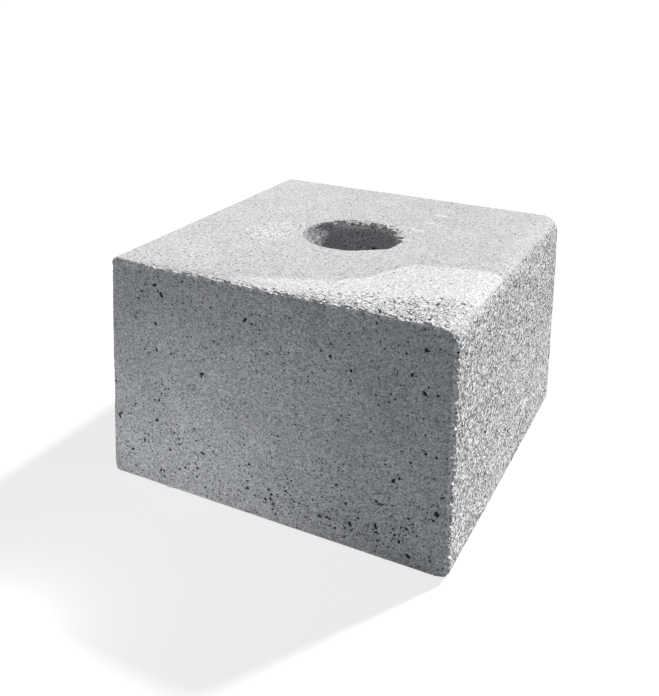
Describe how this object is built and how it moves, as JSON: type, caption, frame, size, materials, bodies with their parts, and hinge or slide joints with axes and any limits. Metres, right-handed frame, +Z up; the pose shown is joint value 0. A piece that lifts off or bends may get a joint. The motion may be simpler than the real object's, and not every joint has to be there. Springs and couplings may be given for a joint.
{
  "type": "concrete bike rack base block",
  "caption": "Square precast concrete block that tapers in towards its top, with a round post hole down through the middle and a broad rounded top edge on the right.",
  "frame": {"origin": "centre of the underside, on the axis of the post hole", "axes": "+Z up along the post hole, +X to the right along the front face, towards the broad rounded top edge, +Y to the back"},
  "size_m": [0.3991, 0.3994, 0.255],
  "materials": {
    "concrete": "bare cast concrete: a pale smooth skin on top, sandy pitted sides with small air holes"
  },
  "bodies": {
    "root": {"base_block": "concrete"}
  },
  "joints": []
}
